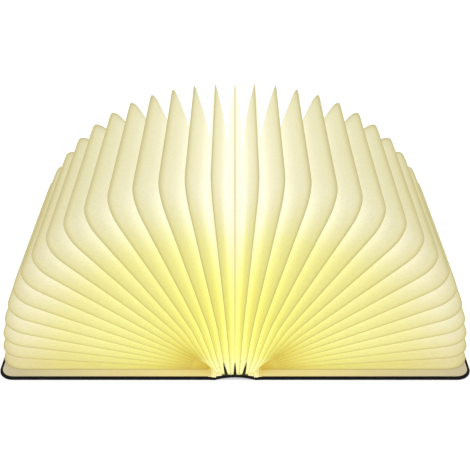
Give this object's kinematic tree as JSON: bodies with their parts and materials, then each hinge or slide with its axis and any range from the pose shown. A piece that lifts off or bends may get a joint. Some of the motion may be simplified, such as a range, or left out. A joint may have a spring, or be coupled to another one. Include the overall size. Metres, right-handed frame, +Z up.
{
  "type": "folding book lamp",
  "caption": "Folding book lamp: two cloth-covered boards open on a bowed spine and fan a pleated paper bellows over an LED light bar.",
  "frame": {"origin": "on the table, midway between the two covers and midway along the spine", "axes": "+X across the spine towards the back cover, +Y along the spine towards the end with the charge socket, +Z up from the table"},
  "size_m": [0.367, 0.216, 0.1661],
  "materials": {
    "book_cloth": "black coated book cloth with a fine grain",
    "grey_board": "raw grey bookbinding board",
    "liner_paper": "smooth matt endpaper",
    "magnet": "nickel plated",
    "page_paper": "matt fibrous synthetic paper, lit warm from inside",
    "black_plastic": "moulded, fine matt texture",
    "screw_steel": "plain steel",
    "frosted_plastic": "frosted opal",
    "white_board": "white solder mask",
    "led": "phosphor under clear silicone",
    "cell_foil": "silver laminated pouch",
    "green_board": "green solder mask",
    "socket_shell": "stamped stainless shell",
    "sensor_plastic": "moulded chip package",
    "lead_insulation": "red insulation"
  },
  "bodies": {
    "spine": {"spine_wrap": "book_cloth", "spine_plate": "black_plastic", "bar_tray": "black_plastic", "bar_cap_near": "black_plastic", "bar_cap_far": "black_plastic", "bar_screws": "screw_steel", "diffuser": "frosted_plastic", "led_board": "white_board", "led_chips": "led", "cell_near": "cell_foil", "cell_far": "cell_foil", "charge_board": "green_board", "charge_socket": "socket_shell", "closed_sensor": "sensor_plastic", "cell_leads": "lead_insulation", "page_middle": "page_paper"},
    "front_cover": {"front_cloth": "book_cloth", "front_board": "grey_board", "front_liner": "liner_paper", "front_magnet_near": "magnet", "front_magnet_far": "magnet", "front_trigger_magnet": "magnet", "front_end_sheet": "page_paper"},
    "back_cover": {"back_cloth": "book_cloth", "back_board": "grey_board", "back_liner": "liner_paper", "back_magnet_near": "magnet", "back_magnet_far": "magnet", "back_end_sheet": "page_paper"},
    "page_front_1": {"page_front_1": "page_paper"},
    "page_front_2": {"page_front_2": "page_paper"},
    "page_front_3": {"page_front_3": "page_paper"},
    "page_front_4": {"page_front_4": "page_paper"},
    "page_front_5": {"page_front_5": "page_paper"},
    "page_front_6": {"page_front_6": "page_paper"},
    "page_front_7": {"page_front_7": "page_paper"},
    "page_front_8": {"page_front_8": "page_paper"},
    "page_front_9": {"page_front_9": "page_paper"},
    "page_front_10": {"page_front_10": "page_paper"},
    "page_front_11": {"page_front_11": "page_paper"},
    "page_front_12": {"page_front_12": "page_paper"},
    "page_front_13": {"page_front_13": "page_paper"},
    "page_front_14": {"page_front_14": "page_paper"},
    "page_front_15": {"page_front_15": "page_paper"},
    "page_back_1": {"page_back_1": "page_paper"},
    "page_back_2": {"page_back_2": "page_paper"},
    "page_back_3": {"page_back_3": "page_paper"},
    "page_back_4": {"page_back_4": "page_paper"},
    "page_back_5": {"page_back_5": "page_paper"},
    "page_back_6": {"page_back_6": "page_paper"},
    "page_back_7": {"page_back_7": "page_paper"},
    "page_back_8": {"page_back_8": "page_paper"},
    "page_back_9": {"page_back_9": "page_paper"},
    "page_back_10": {"page_back_10": "page_paper"},
    "page_back_11": {"page_back_11": "page_paper"},
    "page_back_12": {"page_back_12": "page_paper"},
    "page_back_13": {"page_back_13": "page_paper"},
    "page_back_14": {"page_back_14": "page_paper"},
    "page_back_15": {"page_back_15": "page_paper"}
  },
  "joints": [
    {"name": "front_cover_hinge", "type": "hinge", "parent": "spine", "child": "front_cover", "pos_m": [-0.017, 0, 0.0003], "axis": [0, 1, 0], "range_deg": [-95.5, 90], "deforming": ["front_end_sheet", "page_middle"]},
    {"name": "back_cover_hinge", "type": "hinge", "parent": "spine", "child": "back_cover", "pos_m": [0.017, 0, 0.0003], "axis": [0, -1, 0], "range_deg": [-95.5, 90], "deforming": ["back_end_sheet"]},
    {"name": "page_front_1_fan", "type": "hinge", "parent": "spine", "child": "page_front_1", "pos_m": [-0.00296, 0, -0.02295], "axis": [0, 1, 0], "range_deg": [-5.17, 4.88], "deforming": ["page_front_1"]},
    {"name": "page_front_2_fan", "type": "hinge", "parent": "spine", "child": "page_front_2", "pos_m": [-0.00592, 0, -0.02335], "axis": [0, 1, 0], "range_deg": [-10.77, 10.15], "deforming": ["page_front_2"]},
    {"name": "page_front_3_fan", "type": "hinge", "parent": "spine", "child": "page_front_3", "pos_m": [-0.00847, 0, -0.02095], "axis": [0, 1, 0], "range_deg": [-16.77, 15.8], "deforming": ["page_front_3"]},
    {"name": "page_front_4_fan", "type": "hinge", "parent": "spine", "child": "page_front_4", "pos_m": [-0.01053, 0, -0.01773], "axis": [0, 1, 0], "range_deg": [-23.17, 21.84], "deforming": ["page_front_4"]},
    {"name": "page_front_5_fan", "type": "hinge", "parent": "spine", "child": "page_front_5", "pos_m": [-0.01211, 0, -0.01447], "axis": [0, 1, 0], "range_deg": [-29.91, 28.19], "deforming": ["page_front_5"]},
    {"name": "page_front_6_fan", "type": "hinge", "parent": "spine", "child": "page_front_6", "pos_m": [-0.01329, 0, -0.0115], "axis": [0, 1, 0], "range_deg": [-36.9, 34.77], "deforming": ["page_front_6"]},
    {"name": "page_front_7_fan", "type": "hinge", "parent": "spine", "child": "page_front_7", "pos_m": [-0.01413, 0, -0.00897], "axis": [0, 1, 0], "range_deg": [-43.97, 41.44], "deforming": ["page_front_7"]},
    {"name": "page_front_8_fan", "type": "hinge", "parent": "spine", "child": "page_front_8", "pos_m": [-0.01472, 0, -0.0069], "axis": [0, 1, 0], "range_deg": [-51, 48.06], "deforming": ["page_front_8"]},
    {"name": "page_front_9_fan", "type": "hinge", "parent": "spine", "child": "page_front_9", "pos_m": [-0.01514, 0, -0.00526], "axis": [0, 1, 0], "range_deg": [-57.82, 54.49], "deforming": ["page_front_9"]},
    {"name": "page_front_10_fan", "type": "hinge", "parent": "spine", "child": "page_front_10", "pos_m": [-0.01547, 0, -0.004], "axis": [0, 1, 0], "range_deg": [-64.33, 60.63], "deforming": ["page_front_10"]},
    {"name": "page_front_11_fan", "type": "hinge", "parent": "spine", "child": "page_front_11", "pos_m": [-0.01574, 0, -0.00305], "axis": [0, 1, 0], "range_deg": [-70.45, 66.39], "deforming": ["page_front_11"]},
    {"name": "page_front_12_fan", "type": "hinge", "parent": "spine", "child": "page_front_12", "pos_m": [-0.01603, 0, -0.00234], "axis": [0, 1, 0], "range_deg": [-76.13, 71.75], "deforming": ["page_front_12"]},
    {"name": "page_front_13_fan", "type": "hinge", "parent": "spine", "child": "page_front_13", "pos_m": [-0.01636, 0, -0.0018], "axis": [0, 1, 0], "range_deg": [-81.4, 76.71], "deforming": ["page_front_13"]},
    {"name": "page_front_14_fan", "type": "hinge", "parent": "spine", "child": "page_front_14", "pos_m": [-0.01675, 0, -0.00137], "axis": [0, 1, 0], "range_deg": [-86.31, 81.34], "deforming": ["page_front_14"]},
    {"name": "page_front_15_fan", "type": "hinge", "parent": "spine", "child": "page_front_15", "pos_m": [-0.01723, 0, -0.00099], "axis": [0, 1, 0], "range_deg": [-90.97, 85.73], "deforming": ["page_front_15"]},
    {"name": "page_back_1_fan", "type": "hinge", "parent": "spine", "child": "page_back_1", "pos_m": [0.00296, 0, -0.02295], "axis": [0, -1, 0], "range_deg": [-5.17, 4.88], "deforming": ["page_back_1"]},
    {"name": "page_back_2_fan", "type": "hinge", "parent": "spine", "child": "page_back_2", "pos_m": [0.00592, 0, -0.02335], "axis": [0, -1, 0], "range_deg": [-10.77, 10.15], "deforming": ["page_back_2"]},
    {"name": "page_back_3_fan", "type": "hinge", "parent": "spine", "child": "page_back_3", "pos_m": [0.00847, 0, -0.02095], "axis": [0, -1, 0], "range_deg": [-16.77, 15.8], "deforming": ["page_back_3"]},
    {"name": "page_back_4_fan", "type": "hinge", "parent": "spine", "child": "page_back_4", "pos_m": [0.01053, 0, -0.01773], "axis": [0, -1, 0], "range_deg": [-23.17, 21.84], "deforming": ["page_back_4"]},
    {"name": "page_back_5_fan", "type": "hinge", "parent": "spine", "child": "page_back_5", "pos_m": [0.01211, 0, -0.01447], "axis": [0, -1, 0], "range_deg": [-29.91, 28.19], "deforming": ["page_back_5"]},
    {"name": "page_back_6_fan", "type": "hinge", "parent": "spine", "child": "page_back_6", "pos_m": [0.01329, 0, -0.0115], "axis": [0, -1, 0], "range_deg": [-36.9, 34.77], "deforming": ["page_back_6"]},
    {"name": "page_back_7_fan", "type": "hinge", "parent": "spine", "child": "page_back_7", "pos_m": [0.01413, 0, -0.00897], "axis": [0, -1, 0], "range_deg": [-43.97, 41.44], "deforming": ["page_back_7"]},
    {"name": "page_back_8_fan", "type": "hinge", "parent": "spine", "child": "page_back_8", "pos_m": [0.01472, 0, -0.0069], "axis": [0, -1, 0], "range_deg": [-51, 48.06], "deforming": ["page_back_8"]},
    {"name": "page_back_9_fan", "type": "hinge", "parent": "spine", "child": "page_back_9", "pos_m": [0.01514, 0, -0.00526], "axis": [0, -1, 0], "range_deg": [-57.82, 54.49], "deforming": ["page_back_9"]},
    {"name": "page_back_10_fan", "type": "hinge", "parent": "spine", "child": "page_back_10", "pos_m": [0.01547, 0, -0.004], "axis": [0, -1, 0], "range_deg": [-64.33, 60.63], "deforming": ["page_back_10"]},
    {"name": "page_back_11_fan", "type": "hinge", "parent": "spine", "child": "page_back_11", "pos_m": [0.01574, 0, -0.00305], "axis": [0, -1, 0], "range_deg": [-70.45, 66.39], "deforming": ["page_back_11"]},
    {"name": "page_back_12_fan", "type": "hinge", "parent": "spine", "child": "page_back_12", "pos_m": [0.01603, 0, -0.00234], "axis": [0, -1, 0], "range_deg": [-76.13, 71.75], "deforming": ["page_back_12"]},
    {"name": "page_back_13_fan", "type": "hinge", "parent": "spine", "child": "page_back_13", "pos_m": [0.01636, 0, -0.0018], "axis": [0, -1, 0], "range_deg": [-81.4, 76.71], "deforming": ["page_back_13"]},
    {"name": "page_back_14_fan", "type": "hinge", "parent": "spine", "child": "page_back_14", "pos_m": [0.01675, 0, -0.00137], "axis": [0, -1, 0], "range_deg": [-86.31, 81.34], "deforming": ["page_back_14"]},
    {"name": "page_back_15_fan", "type": "hinge", "parent": "spine", "child": "page_back_15", "pos_m": [0.01723, 0, -0.00099], "axis": [0, -1, 0], "range_deg": [-90.97, 85.73], "deforming": ["page_back_15"]}
  ],
  "couplings": [
    {"joint": "back_cover_hinge", "follows": "front_cover_hinge", "ratio": 1},
    {"joint": "page_front_1_fan", "follows": "front_cover_hinge", "ratio": 0.05416},
    {"joint": "page_front_2_fan", "follows": "front_cover_hinge", "ratio": 0.11276},
    {"joint": "page_front_3_fan", "follows": "front_cover_hinge", "ratio": 0.17559},
    {"joint": "page_front_4_fan", "follows": "front_cover_hinge", "ratio": 0.24262},
    {"joint": "page_front_5_fan", "follows": "front_cover_hinge", "ratio": 0.31323},
    {"joint": "page_front_6_fan", "follows": "front_cover_hinge", "ratio": 0.38632},
    {"joint": "page_front_7_fan", "follows": "front_cover_hinge", "ratio": 0.46043},
    {"joint": "page_front_8_fan", "follows": "front_cover_hinge", "ratio": 0.53399},
    {"joint": "page_front_9_fan", "follows": "front_cover_hinge", "ratio": 0.60547},
    {"joint": "page_front_10_fan", "follows": "front_cover_hinge", "ratio": 0.67365},
    {"joint": "page_front_11_fan", "follows": "front_cover_hinge", "ratio": 0.73766},
    {"joint": "page_front_12_fan", "follows": "front_cover_hinge", "ratio": 0.79716},
    {"joint": "page_front_13_fan", "follows": "front_cover_hinge", "ratio": 0.85231},
    {"joint": "page_front_14_fan", "follows": "front_cover_hinge", "ratio": 0.90377},
    {"joint": "page_front_15_fan", "follows": "front_cover_hinge", "ratio": 0.95256},
    {"joint": "page_back_1_fan", "follows": "front_cover_hinge", "ratio": 0.05416},
    {"joint": "page_back_2_fan", "follows": "front_cover_hinge", "ratio": 0.11276},
    {"joint": "page_back_3_fan", "follows": "front_cover_hinge", "ratio": 0.17559},
    {"joint": "page_back_4_fan", "follows": "front_cover_hinge", "ratio": 0.24262},
    {"joint": "page_back_5_fan", "follows": "front_cover_hinge", "ratio": 0.31323},
    {"joint": "page_back_6_fan", "follows": "front_cover_hinge", "ratio": 0.38632},
    {"joint": "page_back_7_fan", "follows": "front_cover_hinge", "ratio": 0.46043},
    {"joint": "page_back_8_fan", "follows": "front_cover_hinge", "ratio": 0.53399},
    {"joint": "page_back_9_fan", "follows": "front_cover_hinge", "ratio": 0.60547},
    {"joint": "page_back_10_fan", "follows": "front_cover_hinge", "ratio": 0.67365},
    {"joint": "page_back_11_fan", "follows": "front_cover_hinge", "ratio": 0.73766},
    {"joint": "page_back_12_fan", "follows": "front_cover_hinge", "ratio": 0.79716},
    {"joint": "page_back_13_fan", "follows": "front_cover_hinge", "ratio": 0.85231},
    {"joint": "page_back_14_fan", "follows": "front_cover_hinge", "ratio": 0.90377},
    {"joint": "page_back_15_fan", "follows": "front_cover_hinge", "ratio": 0.95256}
  ]
}
